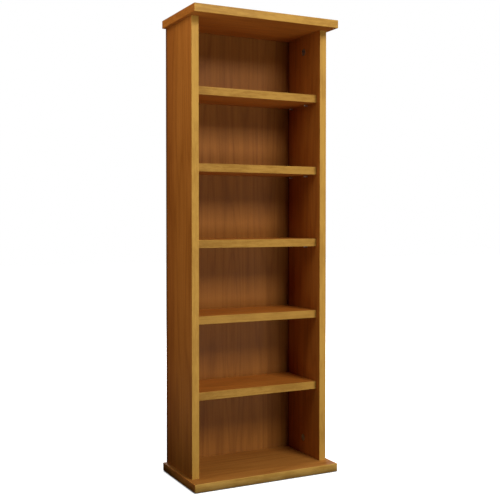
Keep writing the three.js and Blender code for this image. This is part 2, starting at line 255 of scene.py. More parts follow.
# Rings and flecks are (across, along, detail, roughness) and streaks are (across, along, share)
FACE_GRAIN = dict(
    ring=(55 * MM, 700 * MM, 1.5, 0.4), rings=9.0, ring_share=0.20, line_share=0.26,
    streaks=(
        (90 * MM, 210 * MM, 0.34), (9 * MM, 420 * MM, 0.34), (2.4 * MM, 160 * MM, 0.34),
        (0.55 * MM, 26 * MM, 0.34),
    ),
    fleck=(0.42 * MM, 4.5 * MM, 1.0, 0.5), fleck_share=0.34,
)
BAND_GRAIN = dict(
    ring=(22 * MM, 320 * MM, 1.5, 0.4), rings=5.0, ring_share=0.20, line_share=0.24,
    streaks=(
        (45 * MM, 80 * MM, 0.72), (5 * MM, 16 * MM, 0.54), (4 * MM, 150 * MM, 0.36),
        (1.6 * MM, 45 * MM, 0.46), (0.55 * MM, 22 * MM, 0.44),
    ),
    fleck=(0.6 * MM, 5 * MM, 1.0, 0.5), fleck_share=0.50,
)
STREAK_NOISE = (3.0, NOISE_ROUGHNESS)
RING_ORDER, FLECK_ORDER, STREAK_ORDER = 1, 2, 3

# A ring's tone swings over a half, its dark line is narrower, and means keep the tone in the middle
RING_HALF = 0.5
RING_LINE = 0.16
LINE_MEAN = 0.8
FLECK_RANGE = (0.60, 0.70)
FLECK_MEAN = 0.12
FLECK_DIP = 0.8
WORN_SHARES = (0.2, 0.6)
PRINT_ROUGHNESS = (0.42, 0.52)
FIBRE_ROUGHNESS = 0.08
PRINT_BUMP = (0.04 * MM, 0.5)
PRINT_SPECULAR = 0.12

# Painted shade on a print: along which axis, from where to where, and the tint that it reaches
# Painted shade on the side panels, darker and redder towards the rear
REAR_PAINTED_SHADE = ("Y", 0 * MM, 80 * MM, (0.75, 0.64, 0.57))
# Painted shadow: a dark line along the side panels' rear edge, next to the back
REAR_PAINTED_SHADOW_LINE = ("Y", 75 * MM, 79 * MM, (0.50, 0.50, 0.50))
# Painted shade on the base's end bands, darker towards the rear
PLINTH_PAINTED_SHADE = ("Y", -30 * MM, 80 * MM, (0.40, 0.40, 0.40))
# Painted shade on the base's bands, darker towards the floor
FLOOR_PAINTED_SHADE = ("Z", 15 * MM, 0 * MM, (0.45, 0.45, 0.45))


def print_tone(graph, axis, seed, grain, streaks, flecks):
    """How light the print is at a point, from the dark colour at zero to the light one at one."""
    field = layer(graph, axis, seed, RING_ORDER, grain["ring"])
    rings = graph.math("PINGPONG", graph.math("MULTIPLY", field, grain["rings"]), RING_HALF)
    parts = [
        (graph.spread(rings, 0.0, RING_HALF), grain["ring_share"], MIDDLE),
        (graph.spread(rings, 0.0, RING_LINE), grain["line_share"], LINE_MEAN),
    ]
    for value, (_, _, share) in zip(streaks, grain["streaks"]):
        parts.append((graph.spread(value, *USUAL), share, MIDDLE))
    fleck_share = grain["fleck_share"]
    tone = graph.math("MULTIPLY_ADD", flecks, -fleck_share, MIDDLE + fleck_share * FLECK_MEAN)
    for value, share, mean in parts:
        tone = graph.math("ADD", tone, graph.math("MULTIPLY", graph.math("SUBTRACT", value, mean), share))
    tone.node.use_clamp = True
    return tone


def wood_print(name, look, axis, seed, grain=FACE_GRAIN, painted_shades=()):
    """Printed wood with rings, streaks and short flecks under a satin film, its arrises rubbed pale."""
    light, dark = look
    graph = Graph(name)
    streaks = [
        layer(graph, axis, seed, STREAK_ORDER + order, (across, along, *STREAK_NOISE))
        for order, (across, along, _) in enumerate(grain["streaks"])
    ]
    clouds, fibres = streaks[0], streaks[-1]
    flecks = graph.spread(layer(graph, axis, seed, FLECK_ORDER, grain["fleck"]), *FLECK_RANGE)
    colour = graph.blend(print_tone(graph, axis, seed, grain, streaks, flecks), dark, light)
    # Painted shade: the print darkens towards each tint along its axis, where shade falls
    for way, near, far, tint in painted_shades:
        place = graph.node("ShaderNodeSeparateXYZ")
        graph.join(graph.points(), place.inputs["Vector"])
        colour = graph.tint(graph.spread(place.outputs[way], near, far), colour, tint)
    worn = graph.math("MULTIPLY", graph.wear(), graph.spread(clouds, *NARROW, *WORN_SHARES))
    colour = graph.blend(worn, colour, light)
    satin = graph.spread(clouds, *WIDE, *PRINT_ROUGHNESS)
    roughness = graph.math("ADD", satin, graph.math("MULTIPLY", fibres, FIBRE_ROUGHNESS))
    height = graph.math("SUBTRACT", fibres, graph.math("MULTIPLY", flecks, FLECK_DIP))
    graph.bump(height, *PRINT_BUMP)
    return graph.finish(colour, roughness, PRINT_SPECULAR)


# Other materials, with noises as (size across, size along, detail, roughness) and bumps as (depth, strength)

CHIP_SIZES = (1.6 * MM, 2.6 * MM)
DUST_NOISE = (0.5 * MM, 0.8 * MM, 3.0, NOISE_ROUGHNESS)
CHIP_SHARE = 0.6
DUST_SHARE = 0.5
CHIP_RANGE = (0.2, 0.95)
CHIP_BUMP = (0.25 * MM, 0.8)
CHIP_ROUGHNESS = (0.82, 0.95)
CHIP_SPECULAR = 0.15


def chipboard():
    """Sawn and drilled board: coarse chips with finer dust between them."""
    name = "chipboard"
    light, dark = CHIP_LOOK
    graph = Graph(name)
    chips = graph.node("ShaderNodeTexVoronoi")
    chips.inputs["Scale"].default_value = 1.0
    points = graph.points(grain_scale("x", *CHIP_SIZES), seed_shift(SEEDS[name], 1))
    graph.join(points, chips.inputs["Vector"])
    dust = layer(graph, "x", SEEDS[name], 2, DUST_NOISE)
    dusty = graph.math("MULTIPLY", dust, DUST_SHARE)
    tone = graph.math("MULTIPLY_ADD", chips.outputs["Distance"], CHIP_SHARE, dusty)
    colour = graph.blend(graph.spread(tone, *CHIP_RANGE), light, dark)
    graph.bump(tone, *CHIP_BUMP)
    return graph.finish(colour, graph.spread(dust, *WIDE, *CHIP_ROUGHNESS), CHIP_SPECULAR)


FUZZ_NOISE = (0.8 * MM, 1.6 * MM, 4.0, NOISE_ROUGHNESS)
CLOUD_NOISE = (60 * MM, 90 * MM, 3.0, NOISE_ROUGHNESS)
FUZZ_SHARE = 0.6
CLOUD_SHARE = 0.4
HARDBOARD_RANGE = (0.32, 0.68)
HARDBOARD_BUMP = (0.12 * MM, 0.6)
HARDBOARD_ROUGHNESS = (0.7, 0.88)
HARDBOARD_SPECULAR = 0.2


def hardboard():
    """The back's bare face: fine fuzz under soft clouds."""
    name = "hardboard"
    light, dark = HARDBOARD_LOOK
    graph = Graph(name)
    fuzz = layer(graph, "z", SEEDS[name], 1, FUZZ_NOISE)
    clouds = layer(graph, "z", SEEDS[name], 2, CLOUD_NOISE)
    tone = graph.math(
        "ADD", graph.math("MULTIPLY", fuzz, FUZZ_SHARE), graph.math("MULTIPLY", clouds, CLOUD_SHARE),
    )
    colour = graph.blend(graph.spread(tone, *HARDBOARD_RANGE), dark, light)
    graph.bump(fuzz, *HARDBOARD_BUMP)
    return graph.finish(colour, graph.spread(fuzz, *WIDE, *HARDBOARD_ROUGHNESS), HARDBOARD_SPECULAR)


FIBRE_NOISE = (0.6 * MM, 14 * MM, 4.0, NOISE_ROUGHNESS)
BEECH_FLECK_NOISE = (0.4 * MM, 2.2 * MM, 1.0, NOISE_ROUGHNESS)
BEECH_FLECK_RANGE = (0.6, 0.72)
BEECH_FLECK_SHARE = 0.3
BEECH_BUMP = (0.08 * MM, 0.6)
BEECH_ROUGHNESS = (0.6, 0.75)
BEECH_SPECULAR = 0.3


def beech():
    """Pale fibres along a dowel, with short dark flecks."""
    name = "beech"
    light, dark = BEECH_LOOK
    graph = Graph(name)
    fibres = layer(graph, "z", SEEDS[name], 1, FIBRE_NOISE)
    flecks = graph.spread(layer(graph, "z", SEEDS[name], 2, BEECH_FLECK_NOISE), *BEECH_FLECK_RANGE)
    tone = graph.math("SUBTRACT", fibres, graph.math("MULTIPLY", flecks, BEECH_FLECK_SHARE))
    colour = graph.blend(graph.spread(tone, *USUAL), dark, light)
    graph.bump(fibres, *BEECH_BUMP)
    return graph.finish(colour, graph.spread(fibres, *WIDE, *BEECH_ROUGHNESS), BEECH_SPECULAR)


METAL_CLOUD_SIZE = 4 * MM
METAL_DETAIL = 3.0
METAL_WEAR_SHARE = 0.5
METAL_BUMP = (0.04 * MM, 0.5)
METAL_SPECULAR = 0.5
METALLIC = 1.0


def metal(name, look, pit_size, roughness):
    """Cast or plated metal: cloudy tone, fine pits and edges worn bright."""
    light, dark = look
    graph = Graph(name)
    clouds, pits = [
        layer(graph, "z", SEEDS[name], order, (size, size, METAL_DETAIL, NOISE_ROUGHNESS))
        for order, size in ((1, METAL_CLOUD_SIZE), (2, pit_size))
    ]
    worn = graph.wear()
    tone = graph.math("ADD", graph.spread(clouds, *USUAL), graph.math("MULTIPLY", worn, METAL_WEAR_SHARE))
    colour = graph.blend(tone, dark, light)
    graph.bump(pits, *METAL_BUMP)
    return graph.finish(colour, graph.spread(pits, *WIDE, *roughness), METAL_SPECULAR, METALLIC)


MOTTLE_NOISE = (1.2 * MM, 1.2 * MM, 4.0, NOISE_ROUGHNESS)
GLIDE_BUMP = (0.05 * MM, 0.5)
GLIDE_ROUGHNESS = (0.45, 0.62)
GLIDE_SPECULAR = 0.4


def glide_plastic():
    """Dark plastic, faintly mottled."""
    name = "glide_plastic"
    light, dark = GLIDE_LOOK
    graph = Graph(name)
    mottle = layer(graph, "z", SEEDS[name], 1, MOTTLE_NOISE)
    colour = graph.blend(graph.spread(mottle, *USUAL), dark, light)
    graph.bump(mottle, *GLIDE_BUMP)
    return graph.finish(colour, graph.spread(mottle, *WIDE, *GLIDE_ROUGHNESS), GLIDE_SPECULAR)


CHIPBOARD = chipboard()
HARDBOARD = hardboard()
BEECH = beech()
ZINC = metal("cam_zinc", ZINC_LOOK, pit_size=0.5 * MM, roughness=(0.38, 0.58))
BOLT_STEEL = metal("bolt_steel", STEEL_LOOK, pit_size=0.4 * MM, roughness=(0.25, 0.42))
PIN_STEEL = metal("pin_steel", STEEL_LOOK, pit_size=0.3 * MM, roughness=(0.22, 0.36))
NAIL_STEEL = metal("nail_steel", STEEL_LOOK, pit_size=0.3 * MM, roughness=(0.3, 0.48))
GLIDE = glide_plastic()


# Objects and their places

def new_object(name, bm, materials, smooth=False):
    mesh = bpy.data.meshes.new(name)
    bm.to_mesh(mesh)
    bm.free()
    for material in materials:
        mesh.materials.append(material)
    if smooth:
        mesh.shade_smooth()
        mesh.set_sharp_from_angle(angle=math.radians(SMOOTH_ANGLE))
    made = bpy.data.objects.new(name, mesh)
    bpy.context.scene.collection.objects.link(made)
    return made


def register(piece, body, slot, *nodes):
    """Says what a finished piece rides on and hides the nodes it stands for; the slot is not used."""
    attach(piece, body)
    if nodes:
        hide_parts(*nodes)


def mark_wear(bm, rubbed):
    """Paints the vertices for which rubbed(place) holds, as edges that rub pale."""
    wear = bm.verts.layers.float.new(WEAR)
    for vert in bm.verts:
        vert[wear] = 1.0 if rubbed(vert.co) else 0.0


def middle_at(node, axis, value):
    """The middle of a node's box, moved along one axis to a value."""
    low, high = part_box(node)
    place = (low + high) / 2
    place[AXES[axis]] = value
    return place


def basis(x_way, z_way, place):
    """A placing matrix whose own X and Z point the given ways."""
    x_way, z_way = Vector(x_way), Vector(z_way)
    y_way = z_way.cross(x_way)
    turn = Matrix((x_way, y_way, z_way)).transposed().to_4x4()
    return Matrix.Translation(place) @ turn


# Meshes

def quarter_turn():
    """The sine and cosine of each step through a quarter turn, to round an arris with."""
    angles = [math.pi / 2 * step / EASE_STEPS for step in range(EASE_STEPS + 1)]
    return [(math.sin(angle), math.cos(angle)) for angle in angles]


def box_mesh(low, high, ease, steps):
    """A box with all its arrises eased."""
    bm = bmesh.new()
    bmesh.ops.create_cube(bm, size=1.0)
    bmesh.ops.scale(bm, vec=high - low, verts=bm.verts)
    bmesh.ops.translate(bm, vec=(low + high) / 2, verts=bm.verts)
    bmesh.ops.bevel(bm, geom=bm.edges[:], offset=ease, segments=steps, profile=ROUND_PROFILE, affect="EDGES")
    return bm


def prism_mesh(outline, low, high):
    """An outline in X and Y, stood up from one height to another."""
    bm = bmesh.new()
    face = bm.faces.new([bm.verts.new((x, y, low)) for x, y in outline])
    made = bmesh.ops.extrude_face_region(bm, geom=[face])
    top = [vert for vert in made["geom"] if isinstance(vert, bmesh.types.BMVert)]
    bmesh.ops.translate(bm, vec=(0, 0, high - low), verts=top)
    bmesh.ops.recalc_face_normals(bm, faces=bm.faces)
    return bm


def ease_rims(bm, ease, steps):
    """Eases the two rims of a prism."""
    rims = [edge for edge in bm.edges if abs(edge.verts[0].co.z - edge.verts[1].co.z) < LEVEL_SLACK]
    bmesh.ops.bevel(bm, geom=rims, offset=ease, segments=steps, profile=ROUND_PROFILE, affect="EDGES")


def strip_mesh(stations, width, thickness, rounding, across):
    """A band swept along stations of (point, outward way), with two rounded outer arrises.

    Each point lies on the band's outer plane, in the middle of its width.
    """
    half = width / 2
    section = [(-half, -thickness)] + [
        (rounding - half - rounding * cosine, rounding * sine - rounding) for sine, cosine in quarter_turn()
    ]
    section += [(-side, out) for side, out in reversed(section)]
    bm = bmesh.new()
    loops = []
    for point, outward in stations:
        loops.append([bm.verts.new(point + across * side + outward * out) for side, out in section])
    for first, second in zip(loops, loops[1:]):
        for index in range(len(section)):
            after = (index + 1) % len(section)
            bm.faces.new((first[index], first[after], second[after], second[index]))
    bm.faces.new(loops[0])
    bm.faces.new(loops[-1])
    bmesh.ops.recalc_face_normals(bm, faces=bm.faces)
    return bm


def rounded_foot(radius, rounding):
    """The lower end of a turned profile: a flat foot with a rounded rim."""
    return [(0, 0)] + [
        (radius - rounding + rounding * sine, rounding - rounding * cosine) for sine, cosine in quarter_turn()
    ]


def turned_mesh(profile, steps, cut=None):
    """A turned piece along Z, from (radius, height) pairs.

    Where flutes or a thread are cut, cut(radius, angle, height) gives the radius that is left.
    """
    bm = bmesh.new()
    rings = []
    for radius, height in profile:
        if radius == 0:
            rings.append([bm.verts.new((0, 0, height))])
            continue
        ring = []
        for step in range(steps):
            angle = 2 * math.pi * step / steps
            left = cut(radius, angle, height) if cut else radius
            ring.append(bm.verts.new((left * math.cos(angle), left * math.sin(angle), height)))
        rings.append(ring)
    for low, high in zip(rings, rings[1:]):
        for step in range(steps):
            after = (step + 1) % steps
            if len(low) == 1:
                bm.faces.new((low[0], high[after], high[step]))
            elif len(high) == 1:
                bm.faces.new((low[step], low[after], high[0]))
            else:
                bm.faces.new((low[step], low[after], high[after], high[step]))
    bmesh.ops.recalc_face_normals(bm, faces=bm.faces)
    return bm


# Cutting

def rod_cutter(radius, start, end, material):
    """A plain rod from one point to another."""
    bm = bmesh.new()
    way = end - start
    turn = way.to_track_quat("Z", "Y").to_matrix().to_4x4()
    place = Matrix.Translation((start + end) / 2) @ turn
    bmesh.ops.create_cone(
        bm, cap_ends=True, segments=HOLE_STEPS, radius1=radius, radius2=radius, depth=way.length,
        matrix=place,
    )
    return new_object("cutter", bm, [material])


def slab_cutter(outline, low, high, material):
    """A flat outline stood up between two heights."""
    return new_object("cutter", prism_mesh(outline, low, high), [material])


def peg_cutter(node, axis, face, sign):
    """A rod that leaves the usual room round a fitting along an axis, and comes out through a board's face.

    Along the axis the face is below the fitting where the sign is above zero, and above it otherwise.
    """
    low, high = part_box(node)
    index = AXES[axis]
    radius = min((high - low)[other] for other in range(3) if other != index) / 2 + PEG_GAP
    start = middle_at(node, axis, face - OVERRUN if sign > 0 else low[index] - HOLE_SPARE)
    end = middle_at(node, axis, high[index] + HOLE_SPARE if sign > 0 else face + OVERRUN)
    return rod_cutter(radius, start, end, CHIPBOARD)


def join_cutters(cutters):
    """One cutter from several that don't touch each other."""
    first = cutters[0]
    bm = bmesh.new()
    for cutter in cutters:
        bm.from_mesh(cutter.data)
    bm.to_mesh(first.data)
    bm.free()
    for cutter in cutters[1:]:
        bpy.data.meshes.remove(cutter.data)
    return first


def weld(mesh):
    """Joins points that a cut left on each other, and takes out what has no area."""
    bm = bmesh.new()
    bm.from_mesh(mesh)
    bmesh.ops.remove_doubles(bm, verts=bm.verts, dist=WELD)
    bmesh.ops.dissolve_degenerate(bm, edges=bm.edges, dist=WELD)
    bm.to_mesh(mesh)
    bm.free()


def drill(piece, cutters):
    """Cuts the cutters out of a piece and deletes them; the walls take the cutters' material."""
    for cutter in cutters:
        cut = piece.modifiers.new("cut", "BOOLEAN")
        cut.operation = "DIFFERENCE"
        cut.solver = "EXACT"
        cut.material_mode = "TRANSFER"
        cut.object = cutter
    bpy.context.view_layer.update()
    evaluated = piece.evaluated_get(bpy.context.evaluated_depsgraph_get())
    mesh = bpy.data.meshes.new_from_object(evaluated)
    weld(mesh)
    old = piece.data
    piece.modifiers.clear()
    piece.data = mesh
    mesh.name = piece.name
    bpy.data.meshes.remove(old)
    for cutter in cutters:
        bpy.data.meshes.remove(cutter.data)


# Boards

HANDS = (("left", -1), ("right", 1))
ENDS = (("top", 1), ("base", -1))
ROWS = ("front", "rear")
SHELVES = [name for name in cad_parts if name.removeprefix("shelf_").isdigit()]
NAILS = [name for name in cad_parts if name.startswith("back_nail_")]
PLATE_LOOKS = dict(
    # The top's end bands take the faces' colour, darker and redder than the front band they carry on from:
    # partly the print's tone, partly painted shade where the band faces sideways
    top=dict(face=FACE_LOOK, front=BAND_LOOK, end=FACE_LOOK, front_painted_shades=(), end_painted_shades=()),
    base=dict(
        face=BASE_FACE_PAINTED_LIGHT_LOOK, front=BASE_BAND_PAINTED_LIGHT_LOOK, end=BASE_END_PAINTED_LIGHT_LOOK,
        front_painted_shades=(FLOOR_PAINTED_SHADE,), end_painted_shades=(FLOOR_PAINTED_SHADE, PLINTH_PAINTED_SHADE),
    ),
)


def pin_node(shelf, row, hand):
    return f"shelf_pin_{shelf.removeprefix('shelf_')}_{row}_{hand}"


def core_box(node):
    """The box of a board without the band on its front edge."""
    low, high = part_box(node)
    return low + REAR * BOARD_BAND, high


def board_object(name, bm, face_print, raw_ways):
    """A board's core, printed on its faces and bare chipboard where it looks one of the raw ways."""
    mark_wear(bm, lambda place: False)
    board = new_object(name, bm, [face_print, CHIPBOARD])
    for polygon in board.data.polygons:
        raw = any(polygon.normal.dot(way) > FACING for way in raw_ways)
        polygon.material_index = 1 if raw else 0
    return board


def front_band(name, node, axis, material, body):
    """The band on a board's front edge, running along X or Z."""
    low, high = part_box(node)
    middle = (low + high) / 2
    across = UP if axis == "x" else RIGHT
    width = (high - low).dot(across)
    stations = []
    for value in (low[AXES[axis]], high[AXES[axis]]):
        point = middle_at(node, axis, value)
        point.y = low.y
        stations.append((point, FRONT))
    bm = strip_mesh(stations, width, BOARD_BAND, BOARD_BAND_ROUND, across)
    mark_wear(bm, lambda place: abs((place - middle).dot(across)) > width / 2 - BOARD_BAND_ROUND)
    register(new_object(name, bm, [material]), body, "edge_band")


def side_cutters(hand, sign, low, high):
    """The drillings of one side panel, in two lots that don't touch within a lot."""
    inner = high.x if sign < 0 else low.x
    first, second = [], []
    for shelf in SHELVES:
        for row in ROWS:
            first.append(peg_cutter(pin_node(shelf, row, hand), "x", inner, sign))
    for end, up in ENDS:
        first.append(peg_cutter(f"cam_lock_{end}_{hand}", "x", inner, sign))
        face = high.z if up > 0 else low.z
        for row in ROWS:
            first.append(peg_cutter(f"dowel_{end}_{row}_{hand}", "z", face, -up))
        second.append(peg_cutter(f"cam_bolt_{end}_{hand}", "z", face, -up))
    return join_cutters(first), join_cutters(second)


def side_panels():
    painted_shades = (REAR_PAINTED_SHADE, REAR_PAINTED_SHADOW_LINE)
    for index, (hand, sign) in enumerate(HANDS):
        node = f"side_panel_{hand}"
        low, high = core_box(node)
        face_print = wood_print(f"side_print_{hand}", FACE_LOOK, "z", SEEDS["side"] + index, painted_shades=painted_shades)
        bm = box_mesh(low, high, CORE_EASE, CORE_STEPS)
        core = board_object(f"side_board_{hand}", bm, face_print, (REAR, UP, -UP))
        drill(core, side_cutters(hand, sign, low, high))
        register(core, "carcass", "board", node)
        name = f"side_band_{hand}"
        band_print = wood_print(name, BAND_LOOK, "z", SEEDS["side_band"] + index, BAND_GRAIN)
        front_band(name, node, "z", band_print, "carcass")


def shelf_boards():
    for index, node in enumerate(SHELVES):
        face_print = wood_print(f"{node}_print", FACE_LOOK, "x", SEEDS["shelf"] + index)
        bm = box_mesh(*core_box(node), CORE_EASE, CORE_STEPS)
        core = board_object(f"{node}_board", bm, face_print, (REAR, RIGHT, -RIGHT))
        register(core, node, "board", node)
        seed = SEEDS["shelf_band"] + index
        band_print = wood_print(f"{node}_band_print", SHELF_BAND_PAINTED_SHADE_LOOK, "x", seed, BAND_GRAIN)
        front_band(f"{node}_band", node, "x", band_print, node)


def corner_arc(low, high, sign, start, stop):
    """Stations on a plate's rounded front corner, from one angle to another off the front's way."""
    stations = []
    x = high.x if sign > 0 else low.x
    middle = Vector((x - sign * PLATE_CORNER, low.y + PLATE_CORNER, (low.z + high.z) / 2))
    for step in range(CORNER_STEPS + 1):
        angle = math.radians(start + (stop - start) * step / CORNER_STEPS)
        outward = Vector((sign * math.sin(angle), -math.cos(angle), 0))
        stations.append((middle + outward * PLATE_CORNER, outward))
    return stations


def plate_outline(low, high):
    """The core's outline inside the bands: rounded front corners, square rear ones."""
    rounding = PLATE_CORNER - PLATE_BAND
    front, left, right = low.y + PLATE_BAND, low.x + PLATE_BAND, high.x - PLATE_BAND
    outline = []
    for sign, x in ((-1, left), (1, right)):
        angles = [RIGHT_ANGLE * step / CORNER_STEPS for step in range(CORNER_STEPS + 1)]
        if sign < 0:
            angles.reverse()
        for degrees in angles:
            angle = math.radians(degrees)
            outline.append((
                x - sign * rounding + sign * rounding * math.sin(angle),
                front + rounding - rounding * math.cos(angle),
            ))
    return outline + [(right, high.y), (left, high.y)]


def plate_band(name, low, high, stations, material):
    """One stretch of the band round a plate."""
    height = high.z - low.z
    middle = (low.z + high.z) / 2
    bm = strip_mesh(stations, height, PLATE_BAND, PLATE_BAND_ROUND, UP)
    mark_wear(bm, lambda place: abs(place.z - middle) > height / 2 - PLATE_BAND_ROUND)
    register(new_object(name, bm, [material]), "carcass", "edge_band")


def plate_bands(end, low, high, seed):
    """The front band wraps half of each corner, and the end bands carry on from there to the rear."""
    looks = PLATE_LOOKS[end]
    name = f"{end}_front_band"
    band_print = wood_print(name, looks["front"], "x", seed, BAND_GRAIN, looks["front_painted_shades"])
    stations = corner_arc(low, high, -1, CORNER_SPLIT, 0) + corner_arc(low, high, 1, 0, CORNER_SPLIT)
    plate_band(name, low, high, stations, band_print)
    for hand, sign in HANDS:
        name = f"{end}_end_band_{hand}"
        band_print = wood_print(name, looks["end"], "y", seed + sign, BAND_GRAIN, looks["end_painted_shades"])
        rear = Vector((high.x if sign > 0 else low.x, high.y, (low.z + high.z) / 2))
        stations = corner_arc(low, high, sign, CORNER_SPLIT, RIGHT_ANGLE) + [(rear, Vector((sign, 0, 0)))]
        plate_band(name, low, high, stations, band_print)


def plates():
    for index, (end, up) in enumerate(ENDS):
        node = f"{end}_panel"
        low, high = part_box(node)
        face_print = wood_print(f"{end}_print", PLATE_LOOKS[end]["face"], "x", SEEDS["plate"] + index)
        bm = prism_mesh(plate_outline(low, high), low.z, high.z)
        ease_rims(bm, CORE_EASE, CORE_STEPS)
        core = board_object(f"{end}_board", bm, face_print, (REAR,))
        inner = low.z if up > 0 else high.z
        cutters = []
        for hand, _ in HANDS:
            cutters.append(peg_cutter(f"cam_bolt_{end}_{hand}", "z", inner, up))
            for row in ROWS:
                cutters.append(peg_cutter(f"dowel_{end}_{row}_{hand}", "z", inner, up))
        drill(core, [join_cutters(cutters)])
        register(core, "carcass", "board", node)
        plate_bands(end, low, high, SEEDS["plate_band"] + PLATE_BAND_STRIDE * index)


def back_board():
    """The thin back: printed towards the shelves, bare hardboard behind, with a seat for each nail's head."""
    low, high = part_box("back_panel")
    face_print = wood_print("back_print", BACK_FACE_PAINTED_SHADE_LOOK, "z", SEEDS["back"])
    bm = box_mesh(low, high, BACK_EASE, BACK_STEPS)
    mark_wear(bm, lambda place: False)
    board = new_object("back_board", bm, [face_print, HARDBOARD])
    for polygon in board.data.polygons:
        polygon.material_index = 0 if polygon.normal.dot(FRONT) > FACING else 1
    seats = []
    for nail in NAILS:
        nail_low, nail_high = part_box(nail)
        radius = (nail_high.x - nail_low.x) / 2 + PEG_GAP
        start = middle_at(nail, "y", nail_high.y - NAIL_HEAD)
        end = middle_at(nail, "y", high.y + OVERRUN)
        seats.append(rod_cutter(radius, start, end, HARDBOARD))
    drill(board, [join_cutters(seats)])
    register(board, "carcass", "back_board", "back_panel")


# Fittings

def fitting(node, bm, placing, material, slot, body="carcass"):
    """Puts a fitting in its place, drawn along Z from the origin, where it stands for one node."""
    bmesh.ops.transform(bm, matrix=placing, verts=bm.verts)
    register(new_object(f"{node}_drawn", bm, [material], smooth=True), body, slot, node)


NAIL_HEAD = 0.6 * MM
NAIL_SHANK_RADIUS = 0.6 * MM
NAIL_TIP = 2.0 * MM
NAIL_TIP_SHARE = 0.4
NAIL_ROUND = 0.15 * MM


def nails():
    """Wire nails, from the point up to the flat head."""
    for nail in NAILS:
        low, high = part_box(nail)
        length = high.y - low.y
        head = (high.x - low.x) / 2
        profile = [
            (0, -length),
            (NAIL_SHANK_RADIUS * NAIL_TIP_SHARE, -length + NAIL_TIP / 2),
            (NAIL_SHANK_RADIUS, -length + NAIL_TIP),
            (NAIL_SHANK_RADIUS, -NAIL_HEAD),
            (head - NAIL_ROUND, -NAIL_HEAD),
            (head, -NAIL_HEAD + NAIL_ROUND),
            (head, -NAIL_ROUND),
            (head - NAIL_ROUND, 0),
            (0, 0),
        ]
        bm = turned_mesh(profile, SMALL_ROUND_STEPS)
        mark_wear(bm, lambda place: place.z > -NAIL_HEAD)
        placing = basis((1, 0, 0), (0, 1, 0), middle_at(nail, "y", high.y))
        fitting(nail, bm, placing, NAIL_STEEL, "nail_steel")


PIN_RADIUS = 2.5 * MM
PIN_FLAT = 1.9 * MM
PIN_ROUND = 0.5 * MM
PIN_IN_SIDE = 8.0 * MM
PIN_STEP = 0.1 * MM  # the length over which the flat begins


def pin_mesh(length):
    """A pin with rounded ends; past its length in the side, a flat is cut for the shelf."""
    foot = rounded_foot(PIN_RADIUS, PIN_ROUND)
    step_rings = [(PIN_RADIUS, PIN_IN_SIDE - PIN_STEP), (PIN_RADIUS, PIN_IN_SIDE)]
    head = [(radius, length - height) for radius, height in reversed(foot)]
    bm = turned_mesh(foot + step_rings + head, ROUND_STEPS)
    for vert in bm.verts:
        if vert.co.z > PIN_IN_SIDE - PIN_STEP / 2:
            vert.co.x = min(vert.co.x, PIN_FLAT)
    mark_wear(bm, lambda place: place.z > length - PIN_ROUND)
    return bm


def shelf_pins():
    for shelf in SHELVES:
        for hand, sign in HANDS:
            for row in ROWS:
                node = pin_node(shelf, row, hand)
                low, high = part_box(node)
                place = middle_at(node, "x", high.x if sign > 0 else low.x)
                place.z = low.z + PIN_RADIUS
                placing = basis((0, 0, 1), (-sign, 0, 0), place)
                fitting(node, pin_mesh(high.x - low.x), placing, PIN_STEEL, "pin_steel")


DOWEL_FLUTES = 16
DOWEL_FLUTE_STEPS = 6
DOWEL_FLUTE_DEPTH = 0.25 * MM
DOWEL_CHAMFER = 1.0 * MM


def flute(radius, angle, _height):
    """Grooves all round a dowel, at every height."""
    return radius - DOWEL_FLUTE_DEPTH * (0.5 - 0.5 * math.cos(DOWEL_FLUTES * angle))


def dowels():
    """Fluted beech dowels with chamfered ends."""
    for end, _ in ENDS:
        for hand, _ in HANDS:
            for row in ROWS:
                node = f"dowel_{end}_{row}_{hand}"
                low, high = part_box(node)
                radius = (high.x - low.x) / 2
                length = high.z - low.z
                profile = [
                    (0, 0),
                    (radius - DOWEL_CHAMFER, 0),
                    (radius, DOWEL_CHAMFER),
                    (radius, length - DOWEL_CHAMFER),
                    (radius - DOWEL_CHAMFER, length),
                    (0, length),
                ]
                bm = turned_mesh(profile, DOWEL_FLUTES * DOWEL_FLUTE_STEPS, flute)
                fitting(node, bm, Matrix.Translation(middle_at(node, "z", low.z)), BEECH, "beech")


CAM_RADIUS = 7.2 * MM
CAM_REACH = 34.0 * MM  # from the plate's face to the cam's axis
BOLT_THREAD = 11.0 * MM
BOLT_THREAD_RADIUS = 2.9 * MM
BOLT_THREAD_DEPTH = 0.7 * MM
BOLT_THREAD_ROWS = 66
BOLT_THREAD_STEEPNESS = 2.4
BOLT_PITCH = 2.0 * MM
BOLT_COLLAR = 1.5 * MM
BOLT_COLLAR_RADIUS = 3.7 * MM
BOLT_COLLAR_LIFT = 0.001 * MM  # keeps the thread's groove out of the collar
BOLT_SHANK_RADIUS = 3.2 * MM
BOLT_NECK_RADIUS = 1.6 * MM
BOLT_NECK_RUN = 1.5 * MM
BOLT_HEAD_RADIUS = 2.7 * MM
BOLT_HEAD_FAR = 4.8 * MM  # from the cam's axis, as is the next one
BOLT_HEAD_NEAR = 2.2 * MM
BOLT_CHAMFER = 0.6 * MM


def screw(radius, angle, height):
    """The thread's groove, cut only where a bolt stands in the plate."""
    if height > 0 or radius < BOLT_THREAD_RADIUS:
        return radius
    phase = (height / BOLT_PITCH - angle / (2 * math.pi)) % 1.0
    return radius - BOLT_THREAD_DEPTH * min(1.0, BOLT_THREAD_STEEPNESS * abs(phase - 0.5))


